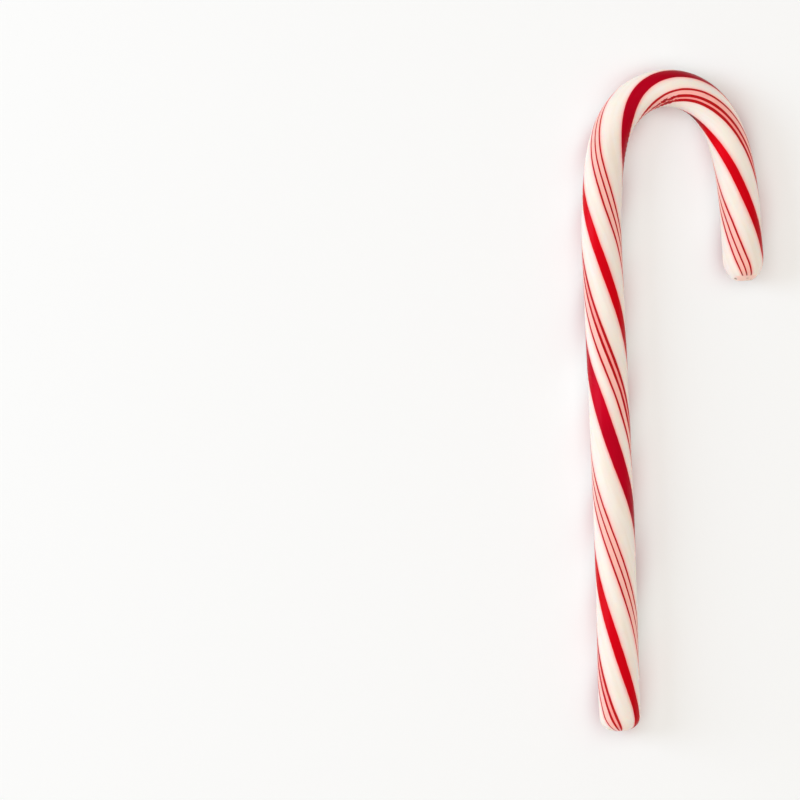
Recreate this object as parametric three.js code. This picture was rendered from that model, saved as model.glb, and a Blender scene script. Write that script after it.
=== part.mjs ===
// A striped candy cane: one solid stick of hard pulled sugar, bent while warm into a crook.
//
// Millimetres. The cane lies on its flattened underside at z = 0. +Y runs from the foot up the
// shaft to the crook, and +X points to the side on which the crook's free end hangs down.
//
// A straight lathed stick carries the stripes' low relief. Each of its vertices is then moved
// onto the bent centreline. Along the stick, "station" is the arc length from the foot's end.

import * as THREE from 'three';

// The stick.
const stickLength = 191.5;
const sides = 44;

// Half the stick's thickness, by station. It thins where the warm sugar was drawn round the crook.
const thickness = [
  { station: 0, radius: 4.31 },
  { station: 9, radius: 4.39 },
  { station: 36, radius: 4.33 },
  { station: 62, radius: 4.27 },
  { station: 104, radius: 4.26 },
  { station: 118, radius: 4.13 },
  { station: 136, radius: 4 },
  { station: 148, radius: 3.99 },
  { station: 166, radius: 4.25 },
  { station: 176, radius: 4.32 },
];

// The two ends are blunt domes: how far each reaches along the stick, and how square it is.
const footDome = { depth: 3.5, squareness: 2.3 };
const tipDome = { depth: 5.9, squareness: 2.35 };

// The tip was cut off flat, a little short of the dome's full length.
const tipCut = 0.2;

// The bends in the plane of the table, as turning in degrees per millimetre. Each bend eases in
// from its start and fades out from its fade, over the lengths given.
const footHeading = -4.07;
const bends = [
  { rate: 0.34, start: -1, easeIn: 1, fade: 0, easeOut: 24 }, // the foot's small kick
  { rate: -0.0648, start: -1, easeIn: 1, fade: 0, easeOut: 80.9 }, // the shaft's slight bow
  { rate: 0.4923, start: 98.4, easeIn: 6.4, fade: 104.8, easeOut: 14.5 }, // the shoulder
  { rate: 5.1497, start: 110.3, easeIn: 31.9, fade: 144.2, easeOut: 26.8 }, // the crook
  { rate: 0.6051, start: 144.2, easeIn: 26.8, fade: 171, easeOut: 15.4 }, // the limb, flaring out
];

// The stick was twisted by hand: the length of one full turn of the stripes, by station.
const footTwist = -7.2;
const twistPitch = [
  { station: 0, pitch: 73.7 },
  { station: 15, pitch: 87.4 },
  { station: 30, pitch: 85.9 },
  { station: 45, pitch: 78.4 },
  { station: 60, pitch: 84.6 },
  { station: 75, pitch: 76.7 },
  { station: 96, pitch: 85.4 },
  { station: 110, pitch: 69.5 },
  { station: 122, pitch: 67.2 },
  { station: 136, pitch: 57.4 },
  { station: 148, pitch: 71.8 },
  { station: 158, pitch: 82.5 },
  { station: 172, pitch: 80.2 },
  { station: stickLength, pitch: 76.1 },
];

// The laid-on stripes stand a little proud of the white. Angles go round the stick, in degrees.
const stripeHeight = 0.07;
const stripeShoulder = 9;
const stripes = [
  { middle: 68.7, width: 27.4 }, // the narrow broad stripe
  { middle: 153, width: 40 }, // the even group of three lines
  { middle: 263.1, width: 40.3 }, // the wide broad stripe
  { middle: 341.6, width: 44 }, // the group of a thin and two thick lines
];

// The underside was pressed flat on the table while the sugar was soft.
const pressedDepth = 0.18;

// Rings of vertices along the stick.
const domeRings = 7;
const shaftStep = 2.5;
const crookStep = 1.5;
const crookFrom = 106;

// The step at which the centreline is worked out.
const walkStep = 0.1;

const radians = THREE.MathUtils.degToRad;
const smoothstep = THREE.MathUtils.smoothstep;

// A value between the stations of a list, joined by smooth steps.
function along(list, key, station) {
  for (let i = 1; i < list.length; i += 1) {
    if (station <= list[i].station) {
      const from = list[i - 1];
      const to = list[i];
      const share = smoothstep(station, from.station, to.station);
      return THREE.MathUtils.lerp(from[key], to[key], share);
    }
  }
  return list[list.length - 1][key];
}

function turning(station) {
  let rate = 0;
  for (const bend of bends) {
    const eased = smoothstep(station, bend.start, bend.start + bend.easeIn);
    const faded = smoothstep(station, bend.fade, bend.fade + bend.easeOut);
    rate += bend.rate * (eased - faded);
  }
  return rate;
}

// Walks up the stick from the foot, noting place, heading and twist at each step.
function walk() {
  const steps = [];
  const count = Math.ceil(stickLength / walkStep);
  let x = 0;
  let y = 0;
  let heading = footHeading;
  let twist = footTwist;
  for (let i = 0; i <= count; i += 1) {
    const station = i * walkStep;
    steps.push({ x, y, heading, twist });
    const middle = station + walkStep / 2;
    const middleHeading = radians(heading + turning(station) * walkStep / 2);
    x += Math.sin(middleHeading) * walkStep;
    y += Math.cos(middleHeading) * walkStep;
    heading += turning(middle) * walkStep;
    twist += 360 / along(twistPitch, 'pitch', middle) * walkStep;
  }
  return steps;
}

const steps = walk();

function placeAt(station) {
  const at = THREE.MathUtils.clamp(station / walkStep, 0, steps.length - 1.001);
  const from = steps[Math.floor(at)];
  const to = steps[Math.floor(at) + 1];
  const share = at - Math.floor(at);
  const place = {};
  for (const key of ['x', 'y', 'heading', 'twist']) {
    place[key] = THREE.MathUtils.lerp(from[key], to[key], share);
  }
  return place;
}

// How much of the full radius a blunt dome leaves at a distance from its end.
function domeShare(dome, fromEnd) {
  if (fromEnd >= dome.depth) {
    return 1;
  }
  const inward = 1 - Math.max(fromEnd, 0) / dome.depth;
  return (1 - inward ** dome.squareness) ** (1 / dome.squareness);
}

// The signed difference between two angles, from -180 to 180 degrees.
function angleBetween(a, b) {
  return THREE.MathUtils.euclideanModulo(a - b + 180, 360) - 180;
}

function stripeRelief(materialAngle) {
  let height = 0;
  for (const stripe of stripes) {
    const off = Math.abs(angleBetween(materialAngle, stripe.middle));
    const edge = stripe.width / 2;
    const outside = smoothstep(off, edge - stripeShoulder / 2, edge + stripeShoulder / 2);
    height += stripeHeight * (1 - outside);
  }
  return height;
}

// The lathe's outline: radius against station, starting and ending on the axis.
function stickOutline() {
  const stations = [0];
  for (let i = 1; i <= domeRings; i += 1) {
    stations.push(footDome.depth * (1 - Math.cos((Math.PI / 2) * (i / domeRings))));
  }
  const tipStart = stickLength - tipDome.depth;
  while (stations[stations.length - 1] < tipStart - crookStep) {
    const last = stations[stations.length - 1];
    stations.push(last + (last < crookFrom ? shaftStep : crookStep));
  }
  for (let i = 0; i <= domeRings; i += 1) {
    stations.push(tipStart + tipDome.depth * Math.sin((Math.PI / 2) * (i / domeRings)));
  }
  return stations.map((station, i) => {
    const isEnd = i === 0 || i === stations.length - 1;
    const dome = domeShare(footDome, station) * domeShare(tipDome, stickLength - station);
    const radius = isEnd ? 0 : along(thickness, 'radius', station) * dome;
    return new THREE.Vector2(radius, Math.min(station, stickLength - tipCut));
  });
}

// Moves one vertex of the straight stick, lathed round the Y axis, onto the bent cane.
function bendVertex(vertex) {
  const station = vertex.y;
  const plainRadius = Math.hypot(vertex.x, vertex.z);
  const fullRadius = along(thickness, 'radius', station);
  const viewAngle = THREE.MathUtils.radToDeg(Math.atan2(vertex.x, vertex.z));
  const place = placeAt(station);
  const share = plainRadius / fullRadius;
  const relief = stripeRelief(viewAngle + place.twist);
  const radius = plainRadius + relief * share;
  const heading = radians(place.heading);
  const sideways = radius * Math.sin(radians(viewAngle));
  const up = radius * Math.cos(radians(viewAngle));
  const axisHeight = fullRadius - pressedDepth;
  vertex.set(
    place.x + Math.cos(heading) * sideways,
    place.y - Math.sin(heading) * sideways,
    Math.max(axisHeight + up, 0),
  );
}

function caneGeometry() {
  const geometry = new THREE.LatheGeometry(stickOutline(), sides);
  const position = geometry.getAttribute('position');
  const vertex = new THREE.Vector3();
  for (let i = 0; i < position.count; i += 1) {
    vertex.fromBufferAttribute(position, i);
    bendVertex(vertex);
    position.setXYZ(i, vertex.x, vertex.y, vertex.z);
  }
  geometry.computeVertexNormals();
  return geometry;
}

// The origin is under the middle of the cane's box, on the table.
function centreOnTable(geometry) {
  geometry.computeBoundingBox();
  const middle = geometry.boundingBox.getCenter(new THREE.Vector3());
  geometry.translate(-middle.x, -middle.y, 0);
  return geometry;
}

const sugar = new THREE.MeshStandardMaterial({
  color: 0xf6ece1,
  roughness: 0.35,
  metalness: 0,
});

const cane = new THREE.Mesh(centreOnTable(caneGeometry()), sugar);
cane.name = 'cane';

const candyCane = new THREE.Group();
candyCane.name = 'candy_cane';
candyCane.add(cane);

export default candyCane;
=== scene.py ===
import math

import bmesh
import bpy
from mathutils import Matrix, Vector, noise


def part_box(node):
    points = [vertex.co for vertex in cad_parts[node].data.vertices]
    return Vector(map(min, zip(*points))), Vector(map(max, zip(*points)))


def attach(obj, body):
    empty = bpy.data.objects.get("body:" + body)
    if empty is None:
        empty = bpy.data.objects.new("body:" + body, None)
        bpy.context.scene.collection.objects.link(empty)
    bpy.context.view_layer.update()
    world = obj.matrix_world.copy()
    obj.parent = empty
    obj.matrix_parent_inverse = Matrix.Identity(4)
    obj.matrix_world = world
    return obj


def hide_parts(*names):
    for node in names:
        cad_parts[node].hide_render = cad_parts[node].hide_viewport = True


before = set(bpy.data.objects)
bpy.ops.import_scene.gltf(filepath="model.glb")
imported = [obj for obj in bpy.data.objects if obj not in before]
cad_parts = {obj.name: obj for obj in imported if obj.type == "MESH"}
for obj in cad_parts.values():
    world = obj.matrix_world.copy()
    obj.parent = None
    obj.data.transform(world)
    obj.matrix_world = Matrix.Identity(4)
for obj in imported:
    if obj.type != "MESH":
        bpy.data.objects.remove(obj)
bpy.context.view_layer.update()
print("frame loaded")

mm = 0.001  # lengths below are in millimetres

# The stick of sugar. A station is a distance from the foot's end, measured along the stick.
stick = {
    "length": 191.5,
    "sides": 144,
    "ringStep": 0.32,
    "footDome": {"depth": 3.5, "squareness": 2.3, "rings": 22},
    "tipDome": {"depth": 5.9, "squareness": 2.35, "rings": 32},
    "tipCut": 0.2,  # the tip is cut off flat, this far short of its dome's end
    "pressedDepth": 0.18,  # the strip it settled on while soft
    "pole": 0.01,  # radius of the two end rings before each is merged into its middle
    # half the thickness, by station; it thins where it was drawn round the crook
    "thickness": [
        (0, 4.31), (9, 4.39), (36, 4.33), (62, 4.27), (104, 4.26),
        (118, 4.13), (136, 4.0), (148, 3.99), (166, 4.25), (176, 4.32),
    ],
    # the twist given by hand: the stripes' angle at the foot, and a full turn's length by station
    "footTwist": -7.2,
    "pitch": [
        (0, 73.7), (15, 87.4), (30, 85.9), (45, 78.4), (60, 84.6), (75, 76.7), (96, 85.4),
        (110, 69.5), (122, 67.2), (136, 57.4), (148, 71.8), (158, 82.5), (172, 80.2), (191.5, 76.1),
    ],
    "footHeading": -4.07,  # degrees, before the bends below turn it
}

# The bends: degrees per millimetre, eased in and faded out.
bends = {
    "kick": {"rate": 0.34, "start": -1, "easeIn": 1, "fade": 0, "easeOut": 24},
    "bow": {"rate": -0.0648, "start": -1, "easeIn": 1, "fade": 0, "easeOut": 80.9},
    "shoulder": {"rate": 0.4923, "start": 98.4, "easeIn": 6.4, "fade": 104.8, "easeOut": 14.5},
    "crook": {"rate": 5.1497, "start": 110.3, "easeIn": 31.9, "fade": 144.2, "easeOut": 26.8},
    "limb": {"rate": 0.6051, "start": 144.2, "easeIn": 26.8, "fade": 171, "easeOut": 15.4},
}


def smoothStep(value, low, high):
    share = min(max((value - low) / (high - low), 0), 1)
    return share * share * (3 - 2 * share)


def along(stations, station):
    # between the stations of a list, joined by smooth steps
    for (fromStation, fromValue), (toStation, toValue) in zip(stations, stations[1:]):
        if station <= toStation:
            share = smoothStep(station, fromStation, toStation)
            return fromValue + (toValue - fromValue) * share
    return stations[-1][1]


def turning(station):
    rate = 0
    for bend in bends.values():
        eased = smoothStep(station, bend["start"], bend["start"] + bend["easeIn"])
        faded = smoothStep(station, bend["fade"], bend["fade"] + bend["easeOut"])
        rate += bend["rate"] * (eased - faded)
    return rate


def walkCentreline(step):
    # place, heading and twist at each step from the foot to the tip
    x, y, heading, turned = 0, 0, stick["footHeading"], stick["footTwist"]
    steps = []
    for i in range(int(stick["length"] / step) + 2):
        steps.append((x, y, heading, turned))
        middle = (i + 0.5) * step
        ahead = math.radians(heading + turning(i * step) * step / 2)
        x += math.sin(ahead) * step
        y += math.cos(ahead) * step
        heading += turning(middle) * step
        turned += 360 / along(stick["pitch"], middle) * step
    return steps


walkStep = 0.1
centreline = walkCentreline(walkStep)


def placeAt(station):
    at = min(max(station / walkStep, 0), len(centreline) - 1.001)  # leaves a next step to go to
    low = int(at)
    share = at - low
    return [a + (b - a) * share for a, b in zip(centreline[low], centreline[low + 1])]


def domeShare(dome, fromEnd):
    inward = 1 - min(max(fromEnd / dome["depth"], 0), 1)
    return (1 - inward ** dome["squareness"]) ** (1 / dome["squareness"])


def radiusAt(station):
    share = domeShare(stick["footDome"], station)
    share *= domeShare(stick["tipDome"], stick["length"] - station)
    return along(stick["thickness"], station) * share


def ringMatrix(station):
    # sets a unit ring square across the stick, turned by the twist
    x, y, heading, turned = placeAt(min(station, stick["length"] - stick["tipCut"]))
    heading = math.radians(heading)
    right = Vector((math.cos(heading), -math.sin(heading), 0))
    up = Vector((0, 0, 1))
    basis = Matrix((right, up, right.cross(up))).transposed().to_4x4()
    height = along(stick["thickness"], station) - stick["pressedDepth"]
    radius = max(radiusAt(station), stick["pole"])
    turn = Matrix.Rotation(math.radians(turned), 4, "Z")
    return Matrix.Translation((x, y, height)) @ basis @ turn @ Matrix.Scale(radius, 4)


def ringStations():
    # close together on the two domes, even along the stick
    foot, footRings = stick["footDome"]["depth"], stick["footDome"]["rings"]
    tip, tipRings = stick["tipDome"]["depth"], stick["tipDome"]["rings"]
    stations = [foot * (1 - math.cos(math.pi / 2 * i / footRings)) for i in range(footRings)]
    straight = stick["length"] - foot - tip
    count = round(straight / stick["ringStep"])
    stations += [foot + straight * i / count for i in range(count)]
    start = stick["length"] - tip
    stations += [start + tip * math.sin(math.pi / 2 * i / tipRings) for i in range(tipRings + 1)]
    return stations


def growStick():
    # a straight open tube of length 1, cut into rings, each ring then set on the bent line
    shape = bmesh.new()
    angleLayer = shape.verts.layers.float.new("materialAngle")
    stationLayer = shape.verts.layers.float.new("station")
    outwardLayer = shape.verts.layers.float.new("outward")
    bmesh.ops.create_cone(
        shape, cap_ends=False, segments=stick["sides"], radius1=1, radius2=1, depth=1
    )
    lengthwise = [edge for edge in shape.edges if edge.calc_length() > 0.5]
    stations = ringStations()
    bmesh.ops.subdivide_edges(shape, edges=lengthwise, cuts=len(stations) - 2)
    rings = [[] for station in stations]
    for vertex in shape.verts:
        rings[round((vertex.co.z + 0.5) * (len(stations) - 1))].append(vertex)
    for station, ring in zip(stations, rings):
        place = ringMatrix(station)
        outward = radiusAt(station) / along(stick["thickness"], station)
        for vertex in ring:
            vertex[angleLayer] = math.degrees(math.atan2(vertex.co.x, vertex.co.y)) % 360
            vertex[stationLayer] = station
            vertex[outwardLayer] = outward
            vertex.co = place @ Vector((vertex.co.x, vertex.co.y, 0))
    for end in (rings[0], rings[-1]):
        middle = sum((vertex.co for vertex in end), Vector()) / len(end)
        bmesh.ops.pointmerge(shape, verts=end, merge_co=middle)
    bmesh.ops.recalc_face_normals(shape, faces=shape.faces[:])
    return shape, angleLayer, stationLayer


# The stripes, in degrees round the stick: two broad ones, and two groups of fine lines on pink.
# Soft bumps along the stick give each the station of its middle, its reach each way and its
# amount. Pushes move a stripe aside, in degrees, and swells widen or thin lines, as shares; both
# show the hand that laid them. The bumps of a broad stripe's red are painted highlight and
# painted shade, as shares: brighter where the stripe faces the light, deeper where it turns away.
broadStripes = {
    "narrow": {
        "middle": 68.7,
        "width": 27.4,
        "pushes": [
            (0, 1.6, 8), (2.4, 3, -4), (110, 8, 1.8), (117, 12, -4.5),
            (156, 12, 3.8), (167, 12, -2), (184, 12, -4.8), (191, 6, -12),
        ],
        # painted highlight and painted shade on the red, by station
        "paintedLight": [
            (3, 8, -0.2), (25, 9, 0.1), (83, 9, -0.22),
            (106, 9, 0.16), (163, 5, 0.22), (182, 9, -0.22),
        ],
    },
    "wide": {
        "middle": 263.1,
        "width": 40.3,
        "pushes": [
            (0, 5, -17), (44, 14, 3.4), (73, 12, 3.2),
            (131, 8, 2), (143, 14, -4.2), (191.5, 5, 19),
        ],
        # painted highlight and painted shade on the red, by station
        "paintedLight": [(46, 8, -0.2), (71, 9, 0.26), (122, 8, -0.15), (136, 20, -0.1), (147, 8, -0.2)],
    },
}
lineGroups = {
    "even": {
        "lines": [
            {"middle": 135.6, "width": 5.4},
            {"middle": 153.8, "width": 5.0},
            {"middle": 170.3, "width": 5.2},
        ],
        "pushes": [(110, 8, -1.2), (132, 8, -1.5), (171, 8, 2.5), (182, 10, 0.8)],
        "swells": [(19, 10, -0.3), (42, 9, -0.12), (106, 12, 0.1), (174, 12, 0.2)],
    },
    "uneven": {
        "lines": [
            {"middle": 322.2, "width": 5.8, "swells": [(136, 9, 0.8)]},
            {"middle": 343.7, "width": 8.2},
            {"middle": 359.2, "width": 8.8},
        ],
        "pushes": [(2, 10, -2.2), (66, 7, -1.6), (139, 12, 5), (147, 7, -1.2)],
        "swells": [(4, 12, -0.14), (65, 8, 0.25), (90, 9, -0.16), (145, 16, 0.22), (162, 8, -0.1)],
    },
}

# Low forms on the stick: the laid-on stripes, which fade out at its two ends, and the slight
# unevenness of a hand-rolled stick.
relief = {
    "stripeHeight": 0.035,
    "lineHeight": 0.03,
    "shoulder": 2.5,  # degrees
    "endFade": 1.5,
    "uneven": 0.035,
    "unevenLength": 9,
}

# The inside of the bend was squeezed, and folded into short cross ripples. Their angles go round
# the stick from its upper side.
wrinkles = {
    "depth": 0.09,
    "length": 1.25,
    "start": 116,
    "end": 158,
    "fade": 14,
    "angle": 90,
    "fullWithin": 12,
    "goneBeyond": 62,
    "drift": 2.2,
    "driftAlong": 0.35,
    "driftRound": 0.02,
    "driftSeed": 3,
}


def angleOff(a, b):
    return abs((a - b + 180) % 360 - 180)


def stripeLift(angle):
    lift = 0
    half = relief["shoulder"] / 2
    for stripe in broadStripes.values():
        edge = stripe["width"] / 2
        off = angleOff(angle, stripe["middle"])
        lift += relief["stripeHeight"] * (1 - smoothStep(off, edge - half, edge + half))
    for group in lineGroups.values():
        for line in group["lines"]:
            off = angleOff(angle, line["middle"])
            lift += relief["lineHeight"] * (1 - smoothStep(off, 0, line["width"] / 2 + half))
    return lift


def wrinkle(viewAngle, station):
    start, end, fade = wrinkles["start"], wrinkles["end"], wrinkles["fade"]
    off = angleOff(viewAngle, wrinkles["angle"])
    near = 1 - smoothStep(off, wrinkles["fullWithin"], wrinkles["goneBeyond"])
    bend = smoothStep(station, start, start + fade) * (1 - smoothStep(station, end - fade, end))
    driftPlace = (station * wrinkles["driftAlong"], viewAngle * wrinkles["driftRound"])
    drift = noise.noise(Vector((*driftPlace, wrinkles["driftSeed"]))) * wrinkles["drift"]
    wave = math.sin(math.tau * station / wrinkles["length"] + drift)
    return wrinkles["depth"] * near * bend * (wave - 1) / 2


def shapeSurface(shape, angleLayer, stationLayer):
    shape.normal_update()
    moves = []
    for vertex in shape.verts:
        angle, station = vertex[angleLayer], vertex[stationLayer]
        turned = placeAt(station)[3]
        fromEnd = min(station, stick["length"] - station)
        lift = stripeLift(angle) * smoothStep(fromEnd, 0, relief["endFade"])
        lift += noise.noise(vertex.co / relief["unevenLength"]) * relief["uneven"]
        lift += wrinkle(angle - turned, station)
        moves.append((vertex, vertex.normal * lift))
    for vertex, move in moves:
        vertex.co += move
        vertex.co.z = max(vertex.co.z, 0)


def mapStripes(shape, angleLayer, stationLayer):
    # across: once round the stick, 0 to 1; up: from the foot to the tip, 0 to 1
    for name in ("stripeMap", "OFBake"):
        layer = shape.loops.layers.uv.new(name)
        for face in shape.faces:
            # the pole at an end has no angle of its own and takes the middle of its face's
            rim = [vertex for vertex in face.verts if len(vertex.link_edges) < stick["sides"]]
            turns = {vertex: vertex[angleLayer] / 360 for vertex in rim}
            if max(turns.values()) - min(turns.values()) > 0.5:
                turns = {vertex: turn + (turn < 0.5) for vertex, turn in turns.items()}
            middle = sum(turns.values()) / len(turns)
            for loop in face.loops:
                across = turns.get(loop.vert, middle)
                loop[layer].uv = (across, loop.vert[stationLayer] / stick["length"])


def makeCane():
    shape, angleLayer, stationLayer = growStick()
    print("stick drawn", len(shape.verts))
    shapeSurface(shape, angleLayer, stationLayer)
    print("surface shaped")
    mapStripes(shape, angleLayer, stationLayer)
    bmesh.ops.scale(shape, vec=(mm, mm, mm), verts=shape.verts)
    low = Vector([min(vertex.co[i] for vertex in shape.verts) for i in range(3)])
    high = Vector([max(vertex.co[i] for vertex in shape.verts) for i in range(3)])
    cadLow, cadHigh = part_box("cane")
    move = (Vector(cadLow) + Vector(cadHigh) - low - high) / 2
    bmesh.ops.translate(shape, vec=(move.x, move.y, 0), verts=shape.verts)
    data = bpy.data.meshes.new("candyCane")
    shape.to_mesh(data)
    shape.free()
    data.shade_smooth()
    piece = bpy.data.objects.new("candyCane", data)
    bpy.context.scene.collection.objects.link(piece)
    return piece


cane = makeCane()
print("cane made", len(cane.data.polygons))


def compute(tree, operation, *values):
    # one Math node: each value is a number or another node's output
    made = tree.nodes.new("ShaderNodeMath")
    made.operation = operation
    for socket, value in zip(made.inputs, values):
        if isinstance(value, bpy.types.NodeSocket):
            tree.links.new(value, socket)
        else:
            socket.default_value = value
    return made.outputs[0]


def ease(tree, value, low, high):
    # 0 below low, 1 above high, smooth between
    made = tree.nodes.new("ShaderNodeMapRange")
    made.interpolation_type = "SMOOTHSTEP"
    tree.links.new(value, made.inputs["Value"])
    made.inputs["From Min"].default_value = low
    made.inputs["From Max"].default_value = high
    return made.outputs["Result"]


def blend(tree, share, under, over):
    made = tree.nodes.new("ShaderNodeMix")
    made.data_type = "RGBA"
    tree.links.new(share, made.inputs["Factor"])
    for socket, colour in ((made.inputs[6], under), (made.inputs[7], over)):
        if isinstance(colour, bpy.types.NodeSocket):
            tree.links.new(colour, socket)
        else:
            socket.default_value = (*colour, 1)
    return made.outputs[2]


def opposite(tree, mask):
    return compute(tree, "SUBTRACT", 1, mask)


def inside(tree, off, edge, soft):
    return opposite(tree, ease(tree, off, edge - soft / 2, edge + soft / 2))


def between(tree, value, start, end, soft):
    rise = ease(tree, value, start, start + soft)
    fall = ease(tree, value, end - soft, end)
    return compute(tree, "MULTIPLY", rise, opposite(tree, fall))


def strongest(tree, masks):
    found = masks[0]
    for mask in masks[1:]:
        found = compute(tree, "MAXIMUM", found, mask)
    return found


def offFrom(tree, angle, middle):
    # how far round the stick from a stripe's middle, in degrees
    away = compute(tree, "WRAP", compute(tree, "SUBTRACT", angle, middle), 180, -180)
    return compute(tree, "ABSOLUTE", away)


def bumpsAlong(tree, station, bumps, total):
    # adds soft bumps along the stick to a total: middle, reach, amount
    for middle, reach, amount in bumps:
        away = compute(tree, "ABSOLUTE", compute(tree, "SUBTRACT", station, middle))
        near = inside(tree, away, reach / 2, reach)
        total = compute(tree, "MULTIPLY_ADD", near, amount, total)
    return total


# The sugar's grain, drawn on the straightened stick and out along it by the stretch.
grains = {
    "slow": {"scale": 0.12, "stretch": 2, "detail": 1},
    "quick": {"scale": 0.9, "stretch": 1.5, "detail": 1},
    "weight": {"scale": 0.3, "stretch": 3, "detail": 1},
    "jags": {"scale": 1.2, "stretch": 1, "detail": 1},
    "streaks": {"scale": 0.9, "stretch": 9, "detail": 1},
    "gloss": {"scale": 0.45, "stretch": 3, "detail": 1},
    "skin": {"scale": 3.5, "stretch": 4, "detail": 3},
}


def grain(tree, place, name):
    kind = grains[name]
    mapping = tree.nodes.new("ShaderNodeMapping")
    mapping.inputs["Scale"].default_value = (1, 1, 1 / kind["stretch"])
    tree.links.new(place, mapping.inputs["Vector"])
    made = tree.nodes.new("ShaderNodeTexNoise")
    made.inputs["Scale"].default_value = kind["scale"]
    made.inputs["Detail"].default_value = kind["detail"]
    tree.links.new(mapping.outputs["Vector"], made.inputs["Vector"])
    return made.outputs["Fac"]


# The sugar's colours and finish. Softness, drift and bleed are in degrees round the stick,
# places and lengths along it in millimetres, and what lies on its ends in shares of the radius.
sugar = {
    "ivory": (0.89, 0.85, 0.80),
    "warmIvory": (0.865, 0.81, 0.74),
    "narrowRed": (0.61, 0.0005, 0.006),
    "wideRed": (0.47, 0.0003, 0.013),
    # painted shade, for the narrow stripe's start in the fold of the bend
    "foldShadeRed": (0.12, 0.004, 0.01),
    "lineRed": (0.50, 0.008, 0.012),
    "palePink": (0.99, 0.56, 0.51),
    "rosePink": (0.99, 0.39, 0.37),
    "fringePink": (0.98, 0.30, 0.31),
    "peach": (0.94, 0.62, 0.55),
    "burnt": (0.30, 0.045, 0.035),
    # the cut's marks, and a spot of painted shade at the foot
    "chipAndShade": (0.16, 0.12, 0.09),
    "streaks": (0.35, 0.75),  # where the streaks' grain starts to warm the ivory, and is done
    "straightRadius": 4.3,  # of the straight stick that the grains are drawn on
    "stripeSoft": 1.4,
    "lineSoft": 1.6,
    "pinkSoft": 2,
    "drift": {"slow": 3, "quick": 1.2},  # how far a hand lets the stripes wander
    "weight": {"least": 0.85, "spread": 0.3},  # the lines' width, as a share of their own
    "bleed": {"reach": 4.6, "broad": 0.88, "lines": 0.85, "pastLines": 2},
    "bendPink": {"start": 124, "end": 164, "soft": 10, "share": 0.3},  # rosier round the bend
    "cut": {"length": 1.45, "soft": 0.3, "uneven": 0.5},  # plain sugar on the tip's cut end
    "heart": {"start": 0.22, "end": 0.42, "uneven": 0.3},  # and in the middle of each end
    "stain": {"reach": 0.5, "soft": 0.3, "strength": 0.85},
    "burntEnd": 0.9,  # of the fine lines, before the tip's cut
    "roughness": (0.20, 0.34),
    "bump": {"strength": 0.05, "depth": 0.05},
    "specular": 0.07,
    "glossTint": (1, 0.6, 0.9),
    "subsurface": {"weight": 1.0, "lessInRed": 0.9, "radius": (0.75, 0.55, 0.4), "scale": 2.5},
}

# Where the bend's inside was squeezed, the thicker lines are ragged and nicked. Where the narrow
# red stripe comes round from below into the fold, its start is darkened with painted shade.
jags = {
    "start": 138,
    "end": 146.5,
    "soft": 2,
    "angle": 352,
    "halfAngle": 16,
    "angleSoft": 6,
    "teeth": (0.38, 0.62),  # the span of the grain that makes a tooth
    "raggedness": 5,
    "nicks": (0.55, 1),
    "darkness": 0.7,
    # where painted shade darkens the narrow stripe's start in the fold
    "shadeStart": 146,
    "shadeEnd": 158,
    "shadeSoft": 6,
    "shadeLeast": 0.75,
}

# Small marks left by the cut at the two ends, and one spot of painted shade where the narrow
# stripe meets the foot's edge: angle, station, half their size each way, strength.
marksAndShade = {
    "places": [
        (216, 190.75, 10, 0.2, 0.8),
        (152, 190.8, 6, 0.08, 0.45),
        (127, 191.05, 6, 0.08, 0.45),
        (277, 0.8, 7, 0.1, 0.25),
        (296, 0.6, 6, 0.1, 0.25),
        # painted shade, not a cut mark: the narrow stripe darkened at the foot's edge
        (67, 1.5, 6, 0.4, 0.5),
    ],
    "edge": 0.7,
    "soft": 1.2,
    "uneven": 5,
}


def straightened(tree):
    # the stripes' angle in degrees, the station, and both as a place on a straight stick
    source = tree.nodes.new("ShaderNodeUVMap")
    source.uv_map = "stripeMap"
    split = tree.nodes.new("ShaderNodeSeparateXYZ")
    tree.links.new(source.outputs["UV"], split.inputs["Vector"])
    angle = compute(tree, "MULTIPLY", split.outputs["X"], 360)
    station = compute(tree, "MULTIPLY", split.outputs["Y"], stick["length"])
    around = compute(tree, "RADIANS", angle)
    place = tree.nodes.new("ShaderNodeCombineXYZ")
    for name, operation in (("X", "COSINE"), ("Y", "SINE")):
        share = compute(tree, operation, around)
        side = compute(tree, "MULTIPLY", share, sugar["straightRadius"])
        tree.links.new(side, place.inputs[name])
    tree.links.new(station, place.inputs["Z"])
    return angle, station, place.outputs["Vector"]


def outwardShare(tree):
    # 0 at the middle of an end, 1 at the stick's full thickness
    source = tree.nodes.new("ShaderNodeAttribute")
    source.attribute_name = "outward"
    return source.outputs["Fac"]


def squeezed(tree, angle, station):
    where = between(tree, station, jags["start"], jags["end"], jags["soft"])
    off = offFrom(tree, angle, jags["angle"])
    near = inside(tree, off, jags["halfAngle"], jags["angleSoft"])
    return compute(tree, "MULTIPLY", where, near)


def drawnByHand(tree, angle, station, place, quick, teeth):
    # the angle after the hand's drift, with jagged teeth inside the bend
    slow = compute(tree, "SUBTRACT", grain(tree, place, "slow"), 0.5)
    quickDrift = compute(tree, "MULTIPLY", quick, sugar["drift"]["quick"])
    drift = compute(tree, "MULTIPLY_ADD", slow, sugar["drift"]["slow"], quickDrift)
    shift = compute(tree, "MULTIPLY_ADD", teeth, jags["raggedness"], -jags["raggedness"] / 2)
    drift = compute(tree, "MULTIPLY_ADD", squeezed(tree, angle, station), shift, drift)
    return compute(tree, "ADD", angle, drift)


def pushedAside(tree, drawn, station):
    # the angle as each stripe and group sees it, after the pushes it was given
    seen = {}
    for name, stripe in {**broadStripes, **lineGroups}.items():
        push = bumpsAlong(tree, station, stripe["pushes"], 0)
        seen[name] = compute(tree, "SUBTRACT", drawn, push)
    return seen


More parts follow.
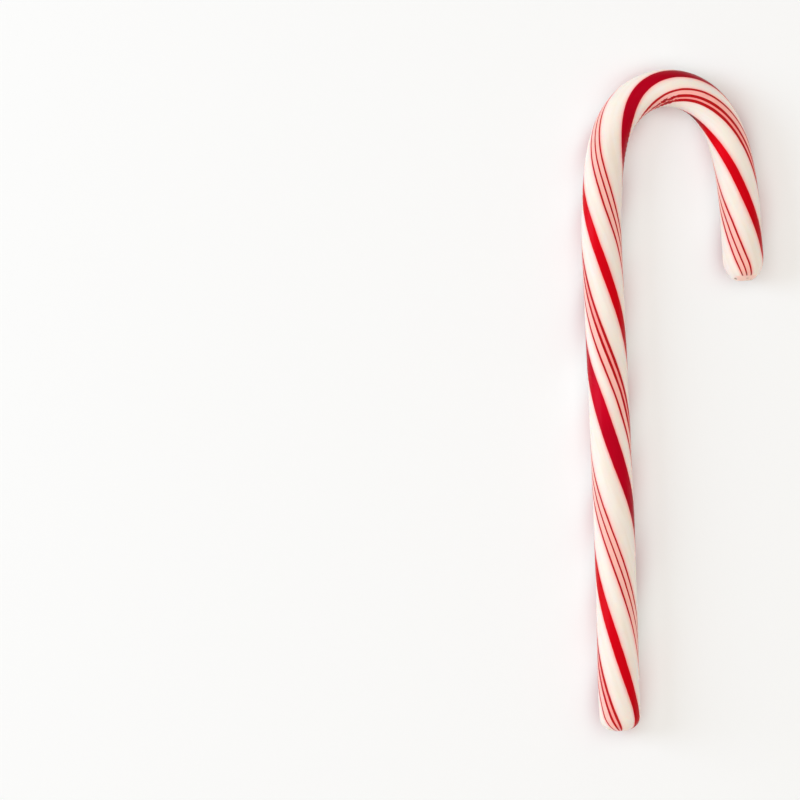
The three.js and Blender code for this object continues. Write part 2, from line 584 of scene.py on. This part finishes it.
def bled(tree, off, edge, strength):
    # the red that crept into the ivory: strongest at the stripe, dying away from it
    away = compute(tree, "MAXIMUM", compute(tree, "SUBTRACT", off, edge), 0)
    fading = compute(tree, "EXPONENT", compute(tree, "DIVIDE", away, -sugar["bleed"]["reach"]))
    return compute(tree, "MULTIPLY", fading, strength)


def broadMasks(tree, seen):
    broad, fringes = {}, []
    for name, stripe in broadStripes.items():
        off = offFrom(tree, seen[name], stripe["middle"])
        edge = stripe["width"] / 2
        broad[name] = inside(tree, off, edge, sugar["stripeSoft"])
        fringes.append(bled(tree, off, edge, sugar["bleed"]["broad"]))
    return broad, fringes


def lineMasks(tree, seen, station, weight):
    lines, fringes = [], []
    for name, group in lineGroups.items():
        swollen = bumpsAlong(tree, station, group["swells"], weight)
        for line in group["lines"]:
            own = bumpsAlong(tree, station, line.get("swells", []), swollen)
            off = compute(tree, "DIVIDE", offFrom(tree, seen[name], line["middle"]), own)
            lines.append(inside(tree, off, line["width"] / 2, sugar["lineSoft"]))
        first, last = group["lines"][0]["middle"], group["lines"][-1]["middle"]
        off = offFrom(tree, seen[name], (first + last) / 2)
        edge = (last - first) / 2 + sugar["bleed"]["pastLines"]
        fringes.append(bled(tree, off, edge, sugar["bleed"]["lines"]))
    return strongest(tree, lines), fringes


def betweenLines(tree, seen, name, fromLine, toLine):
    lines = lineGroups[name]["lines"]
    start, end = lines[fromLine]["middle"], lines[toLine]["middle"]
    off = offFrom(tree, seen[name], (start + end) / 2)
    return inside(tree, off, (end - start) / 2, sugar["pinkSoft"])


def plainEnds(tree, station, outward, quick):
    # 1 on the tip's cut end, then 1 wherever the stripes still show
    cut, heart = sugar["cut"], sugar["heart"]
    cutStart = stick["length"] - cut["length"]
    reached = compute(tree, "MULTIPLY_ADD", quick, cut["uneven"], station)
    onCut = ease(tree, reached, cutStart, cutStart + cut["soft"])
    reached = compute(tree, "MULTIPLY_ADD", quick, heart["uneven"], outward)
    pastHeart = ease(tree, reached, heart["start"], heart["end"])
    return onCut, compute(tree, "MULTIPLY", pastHeart, opposite(tree, onCut))


def tipStain(tree, seen, outward):
    # a soft patch on the cut, below the even lines' ends
    stain = sugar["stain"]
    off = offFrom(tree, seen["even"], lineGroups["even"]["lines"][1]["middle"])
    off = compute(tree, "RADIANS", off)
    toward = compute(tree, "MULTIPLY", compute(tree, "COSINE", off), outward)
    aside = compute(tree, "MULTIPLY", compute(tree, "SINE", off), outward)
    toward = ease(tree, toward, 0, stain["soft"])
    aside = inside(tree, aside, stain["reach"], stain["soft"])
    stained = compute(tree, "MULTIPLY", toward, aside)
    return compute(tree, "MULTIPLY", stained, stain["strength"])


def palePinkAlong(tree, station):
    # turned a little rosier where it was drawn round the bend
    bend = sugar["bendPink"]
    deeper = between(tree, station, bend["start"], bend["end"], bend["soft"])
    deeper = compute(tree, "MULTIPLY", deeper, bend["share"])
    return blend(tree, deeper, sugar["palePink"], sugar["rosePink"])


def lineRedAlong(tree, station):
    # scorched at the very end, where the tip was cut
    cutStart = stick["length"] - sugar["cut"]["length"]
    atEnd = ease(tree, station, cutStart - sugar["burntEnd"], cutStart)
    return blend(tree, atEnd, sugar["lineRed"], sugar["burnt"])


# the broad stripe's red with painted highlight and painted shade: brighter where it faces the
# light, deeper where it turns away
def litAndShadedRed(tree, station, name):
    made = tree.nodes.new("ShaderNodeVectorMath")
    made.operation = "SCALE"
    made.inputs["Vector"].default_value = sugar[name + "Red"]
    tone = bumpsAlong(tree, station, broadStripes[name]["paintedLight"], 1)
    tree.links.new(tone, made.inputs["Scale"])
    return made.outputs["Vector"]


# painted shade: the narrow stripe darkened where it starts in the fold of the bend
def paintedFoldShade(tree, station, narrow, teeth):
    where = between(tree, station, jags["shadeStart"], jags["shadeEnd"], jags["shadeSoft"])
    least = jags["shadeLeast"]
    uneven = compute(tree, "MULTIPLY_ADD", teeth, 1 - least, least)
    return compute(tree, "MULTIPLY", compute(tree, "MULTIPLY", where, narrow), uneven)


def nicks(tree, angle, station, lines, teeth):
    # dark nicks on the thicker lines inside the bend
    onLines = compute(tree, "MULTIPLY", squeezed(tree, angle, station), lines)
    onLines = compute(tree, "MULTIPLY", onLines, ease(tree, teeth, *jags["nicks"]))
    return compute(tree, "MULTIPLY", onLines, jags["darkness"])


# the cut's marks at the two ends, and one spot of painted shade at the foot
def endMarksAndShade(tree, angle, station, quick):
    masks = []
    for atAngle, atStation, halfAngle, halfLength, strength in marksAndShade["places"]:
        across = compute(tree, "DIVIDE", offFrom(tree, angle, atAngle), halfAngle)
        up = compute(tree, "DIVIDE", compute(tree, "SUBTRACT", station, atStation), halfLength)
        reach = compute(tree, "MULTIPLY_ADD", across, across, compute(tree, "MULTIPLY", up, up))
        reach = compute(tree, "MULTIPLY_ADD", quick, marksAndShade["uneven"], reach)
        mark = inside(tree, reach, marksAndShade["edge"], marksAndShade["soft"])
        masks.append(compute(tree, "MULTIPLY", mark, strength))
    return strongest(tree, masks)


def sugarColour(tree, angle, station, place):
    # the sugar's colour, and where a broad red stripe covers it
    outward = outwardShare(tree)
    quick = compute(tree, "SUBTRACT", grain(tree, place, "quick"), 0.5)  # about zero
    teeth = ease(tree, grain(tree, place, "jags"), *jags["teeth"])
    drawn = drawnByHand(tree, angle, station, place, quick, teeth)
    seen = pushedAside(tree, drawn, station)

    spread, least = sugar["weight"]["spread"], sugar["weight"]["least"]
    weight = compute(tree, "MULTIPLY_ADD", grain(tree, place, "weight"), spread, least)
    broad, broadFringes = broadMasks(tree, seen)
    lines, lineFringes = lineMasks(tree, seen, station, weight)
    fringes = strongest(tree, broadFringes + lineFringes)
    evenPink = betweenLines(tree, seen, "even", 0, 2)
    pale = strongest(tree, [evenPink, betweenLines(tree, seen, "uneven", 0, 1)])
    rose = betweenLines(tree, seen, "uneven", 1, 2)

    onCut, striped = plainEnds(tree, station, outward, quick)
    lines, fringes, pale, rose = [
        compute(tree, "MULTIPLY", mask, striped) for mask in (lines, fringes, pale, rose)
    ]
    broad = {name: compute(tree, "MULTIPLY", mask, striped) for name, mask in broad.items()}
    stain = compute(tree, "MULTIPLY", onCut, tipStain(tree, seen, outward))

    # laid over the ivory one after another
    layers = [
        (fringes, sugar["fringePink"]),
        (pale, palePinkAlong(tree, station)),
        (rose, sugar["rosePink"]),
        (stain, sugar["peach"]),
        (lines, lineRedAlong(tree, station)),
        # the broad reds carry painted highlight and painted shade
        (broad["narrow"], litAndShadedRed(tree, station, "narrow")),
        (broad["wide"], litAndShadedRed(tree, station, "wide")),
        # painted shade in the fold of the bend
        (paintedFoldShade(tree, station, broad["narrow"], teeth), sugar["foldShadeRed"]),
        (nicks(tree, angle, station, lines, teeth), sugar["burnt"]),
        # the cut's marks, and painted shade at the foot
        (endMarksAndShade(tree, angle, station, quick), sugar["chipAndShade"]),
    ]
    streaks = ease(tree, grain(tree, place, "streaks"), *sugar["streaks"])
    colour = blend(tree, streaks, sugar["ivory"], sugar["warmIvory"])
    for mask, over in layers:
        colour = blend(tree, mask, colour, over)
    return colour, strongest(tree, list(broad.values()))


def sugarMaterial():
    material = bpy.data.materials.new("pulledSugar")
    material.use_nodes = True
    tree = material.node_tree
    shader = tree.nodes["Principled BSDF"]
    angle, station, place = straightened(tree)
    colour, covered = sugarColour(tree, angle, station, place)
    tree.links.new(colour, shader.inputs["Base Color"])

    low, high = sugar["roughness"]
    rough = compute(tree, "MULTIPLY_ADD", grain(tree, place, "gloss"), high - low, low)
    tree.links.new(rough, shader.inputs["Roughness"])
    bump = tree.nodes.new("ShaderNodeBump")
    bump.inputs["Strength"].default_value = sugar["bump"]["strength"]
    bump.inputs["Distance"].default_value = sugar["bump"]["depth"] * mm
    tree.links.new(grain(tree, place, "skin"), bump.inputs["Height"])
    tree.links.new(bump.outputs["Normal"], shader.inputs["Normal"])
    shader.inputs["Specular IOR Level"].default_value = sugar["specular"]
    shader.inputs["Specular Tint"].default_value = (*sugar["glossTint"], 1)

    # light goes deep into the ivory and hardly into the red
    depth = sugar["subsurface"]
    less = -depth["weight"] * depth["lessInRed"]
    through = compute(tree, "MULTIPLY_ADD", covered, less, depth["weight"])
    tree.links.new(through, shader.inputs["Subsurface Weight"])
    shader.inputs["Subsurface Radius"].default_value = depth["radius"]
    shader.inputs["Subsurface Scale"].default_value = depth["scale"] * mm
    return material


cane.data.materials.append(sugarMaterial())
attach(cane, "root")
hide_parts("cane")
print("sugar coloured")

# A plain pale table top. Its sizes, and those of the lights, are in metres.
table = {
    "half": 3,
    "colour": (0.91, 0.955, 0.985),
    "roughness": 0.9,
    "roughnessSpread": 0.1,
    "grain": 40,
}


def makeTable():
    shape = bmesh.new()
    bmesh.ops.create_grid(shape, x_segments=2, y_segments=2, size=table["half"])
    data = bpy.data.meshes.new("tableTop")
    shape.to_mesh(data)
    shape.free()
    piece = bpy.data.objects.new("tableTop", data)
    bpy.context.scene.collection.objects.link(piece)
    material = bpy.data.materials.new("paleTop")
    material.use_nodes = True
    tree = material.node_tree
    shader = tree.nodes["Principled BSDF"]
    shader.inputs["Base Color"].default_value = (*table["colour"], 1)
    shader.inputs["Specular IOR Level"].default_value = 0
    place = tree.nodes.new("ShaderNodeTexCoord")
    made = tree.nodes.new("ShaderNodeTexNoise")
    made.inputs["Scale"].default_value = table["grain"]
    tree.links.new(place.outputs["Object"], made.inputs["Vector"])
    spread = table["roughnessSpread"]
    least = table["roughness"] - spread / 2
    rough = compute(tree, "MULTIPLY_ADD", made.outputs["Fac"], spread, least)
    tree.links.new(rough, shader.inputs["Roughness"])
    data.materials.append(material)


# A low soft light on the left, a wide one above and an even glow. Of the two lights only the low
# one shines in the gloss.
lights = {
    "low": {
        "place": (-1.18, 0.2, 0.5),
        "size": (0.6, 0.95),
        "power": 6.75,
        "colour": (0.77, 0.85, 1),
        "inGloss": True,
    },
    "above": {
        "place": (-0.06, 0, 1.6),
        "size": (2.2, 2.2),
        "power": 15.7,
        "colour": (0.95, 1, 1),
        "inGloss": False,
    },
}
glow = {"strength": 0.565, "colour": (1, 0.85, 0.73)}


def makeLights():
    for name, light in lights.items():
        data = bpy.data.lights.new(name, "AREA")
        data.shape = "RECTANGLE"
        data.size, data.size_y = light["size"]
        data.energy = light["power"]
        data.color = light["colour"]
        lamp = bpy.data.objects.new(name, data)
        lamp.location = light["place"]
        lamp.visible_glossy = light["inGloss"]
        lamp.rotation_euler = (-Vector(light["place"])).to_track_quat("-Z", "Y").to_euler()
        bpy.context.scene.collection.objects.link(lamp)
    world = bpy.data.worlds.new("glow")
    world.use_nodes = True
    background = world.node_tree.nodes["Background"]
    background.inputs["Color"].default_value = (*glow["colour"], 1)
    background.inputs["Strength"].default_value = glow["strength"]
    bpy.context.scene.world = world


# Straight above, with a long lens; the cane lies to the right of the middle.
view = {
    "middle": (-57.67, 0.07),
    "across": 169.36,
    "focusHeight": 4.2,
    "lens": 800,
    "sensor": 36,
    "farthest": 100,  # metres
}


def makeCamera():
    data = bpy.data.cameras.new("camera")
    data.lens = view["lens"]
    data.sensor_width = view["sensor"]
    data.clip_end = view["farthest"]
    away = view["across"] * view["lens"] / view["sensor"]
    camera = bpy.data.objects.new("camera", data)
    camera.location = Vector((*view["middle"], view["focusHeight"] + away)) * mm
    bpy.context.scene.collection.objects.link(camera)
    bpy.context.scene.camera = camera


makeTable()
makeLights()
makeCamera()
bpy.context.scene.view_settings.view_transform = "Standard"
print("table, lights and camera set")
